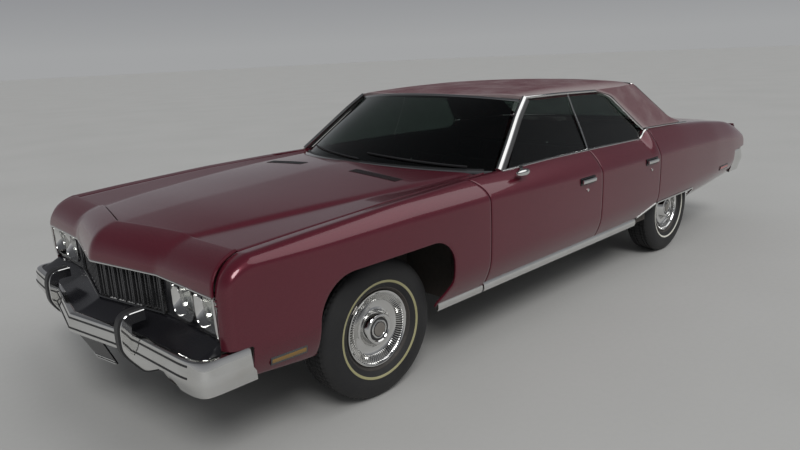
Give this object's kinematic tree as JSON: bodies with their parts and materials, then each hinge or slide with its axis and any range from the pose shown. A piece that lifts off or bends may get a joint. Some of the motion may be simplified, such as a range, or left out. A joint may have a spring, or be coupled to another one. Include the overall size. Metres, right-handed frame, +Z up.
{
  "type": "full-size four-door hardtop car",
  "caption": "Full-size four-door hardtop car with vinyl roof, turning wheels, steering, opening doors, hood and trunk lid.",
  "frame": {"origin": "on the ground under mid-length on the centreline", "axes": "+X forward, +Y left, +Z up"},
  "size_m": [5.657, 2.019, 1.372],
  "materials": {
    "frame_black": "satin black chassis paint",
    "floor_paint": "dull dark underbody paint",
    "body_paint": "gloss dark maroon metallic",
    "vinyl_roof": "weathered maroon grained vinyl",
    "bright_trim": "polished chrome",
    "tinted_glass": "dark green tint",
    "lamp_glass": "clear sealed beam glass",
    "tail_lens": "red ribbed lens",
    "tyre_rubber": "black rubber with a thin white band",
    "wheel_cover": "bright stamped steel cover",
    "knuckle_iron": "rusty cast iron",
    "dash_black": "dark grained plastic",
    "seat_cloth": "dark maroon cloth and vinyl",
    "engine_iron": "greasy cast iron",
    "radiator_core": "black painted core",
    "tank_steel": "dull steel"
  },
  "bodies": {
    "body": {"frame_rails": "frame_black", "front_suspension": "frame_black", "rear_axle": "frame_black", "inner_fenders": "frame_black", "firewall_cowl": "frame_black", "floor_pan": "floor_paint", "front_fender_left": "body_paint", "front_fender_right": "body_paint", "quarter_panel_left": "body_paint", "quarter_panel_right": "body_paint", "header_panel": "body_paint", "upper_back_panel": "body_paint", "tail_panel": "body_paint", "roof_shell": "vinyl_roof", "fixed_glass": "tinted_glass", "grille": "bright_trim", "headlamp_bezels": "bright_trim", "front_bumper": "bright_trim", "rear_bumper": "bright_trim", "headlamps": "lamp_glass", "tail_lamps": "tail_lens", "dashboard": "dash_black", "steering_wheel": "dash_black", "front_seat": "seat_cloth", "rear_seat": "seat_cloth", "engine": "engine_iron", "radiator": "radiator_core", "exhaust": "tank_steel", "fuel_tank": "tank_steel"},
    "wheel_front_left": {"tyre_front_left": "tyre_rubber", "wheel_front_left": "wheel_cover"},
    "door_front_left": {"door_front_left": "body_paint", "door_glass_front_left": "tinted_glass", "door_mirror": "bright_trim"},
    "wheel_front_right": {"tyre_front_right": "tyre_rubber", "wheel_front_right": "wheel_cover"},
    "door_front_right": {"door_front_right": "body_paint", "door_glass_front_right": "tinted_glass"},
    "wheel_rear_left": {"tyre_rear_left": "tyre_rubber", "wheel_rear_left": "wheel_cover"},
    "door_rear_left": {"door_rear_left": "body_paint", "door_glass_rear_left": "tinted_glass"},
    "wheel_rear_right": {"tyre_rear_right": "tyre_rubber", "wheel_rear_right": "wheel_cover"},
    "door_rear_right": {"door_rear_right": "body_paint", "door_glass_rear_right": "tinted_glass"},
    "knuckle_left": {"knuckle_left": "knuckle_iron"},
    "knuckle_right": {"knuckle_right": "knuckle_iron"},
    "hood": {"hood": "body_paint"},
    "trunk_lid": {"trunk_lid": "body_paint"}
  },
  "joints": [
    {"name": "steer_left", "type": "hinge", "parent": "body", "child": "knuckle_left", "pos_m": [1.745, 0.742, 0.346], "axis": [0, 0, 1], "range_deg": [-33, 33]},
    {"name": "steer_right", "type": "hinge", "parent": "body", "child": "knuckle_right", "pos_m": [1.745, -0.742, 0.346], "axis": [0, 0, 1], "range_deg": [-33, 33]},
    {"name": "spin_front_left", "type": "hinge", "parent": "knuckle_left", "child": "wheel_front_left", "pos_m": [1.745, 0.814, 0.346], "axis": [0, 1, 0], "continuous": true},
    {"name": "spin_front_right", "type": "hinge", "parent": "knuckle_right", "child": "wheel_front_right", "pos_m": [1.745, -0.814, 0.346], "axis": [0, 1, 0], "continuous": true},
    {"name": "spin_rear_left", "type": "hinge", "parent": "body", "child": "wheel_rear_left", "pos_m": [-1.341, 0.813, 0.346], "axis": [0, 1, 0], "continuous": true},
    {"name": "spin_rear_right", "type": "hinge", "parent": "body", "child": "wheel_rear_right", "pos_m": [-1.341, -0.813, 0.346], "axis": [0, 1, 0], "continuous": true},
    {"name": "door_front_left_swing", "type": "hinge", "parent": "body", "child": "door_front_left", "pos_m": [1.028, 1.0095, 0.7], "axis": [0, 0, -1], "range_deg": [0, 66]},
    {"name": "door_front_right_swing", "type": "hinge", "parent": "body", "child": "door_front_right", "pos_m": [1.028, -1.0095, 0.7], "axis": [0, 0, 1], "range_deg": [0, 66]},
    {"name": "door_rear_left_swing", "type": "hinge", "parent": "body", "child": "door_rear_left", "pos_m": [-0.114, 1.0095, 0.7], "axis": [0, 0, -1], "range_deg": [0, 66]},
    {"name": "door_rear_right_swing", "type": "hinge", "parent": "body", "child": "door_rear_right", "pos_m": [-0.114, -1.0095, 0.7], "axis": [0, 0, 1], "range_deg": [0, 66]},
    {"name": "hood_lift", "type": "hinge", "parent": "body", "child": "hood", "pos_m": [0.845, 0, 0.96], "axis": [0, -1, 0], "range_deg": [0, 50]},
    {"name": "trunk_lift", "type": "hinge", "parent": "body", "child": "trunk_lid", "pos_m": [-1.83, 0, 0.987], "axis": [0, 1, 0], "range_deg": [0, 60]}
  ],
  "couplings": [
    {"joint": "steer_right", "follows": "steer_left", "ratio": 1}
  ]
}
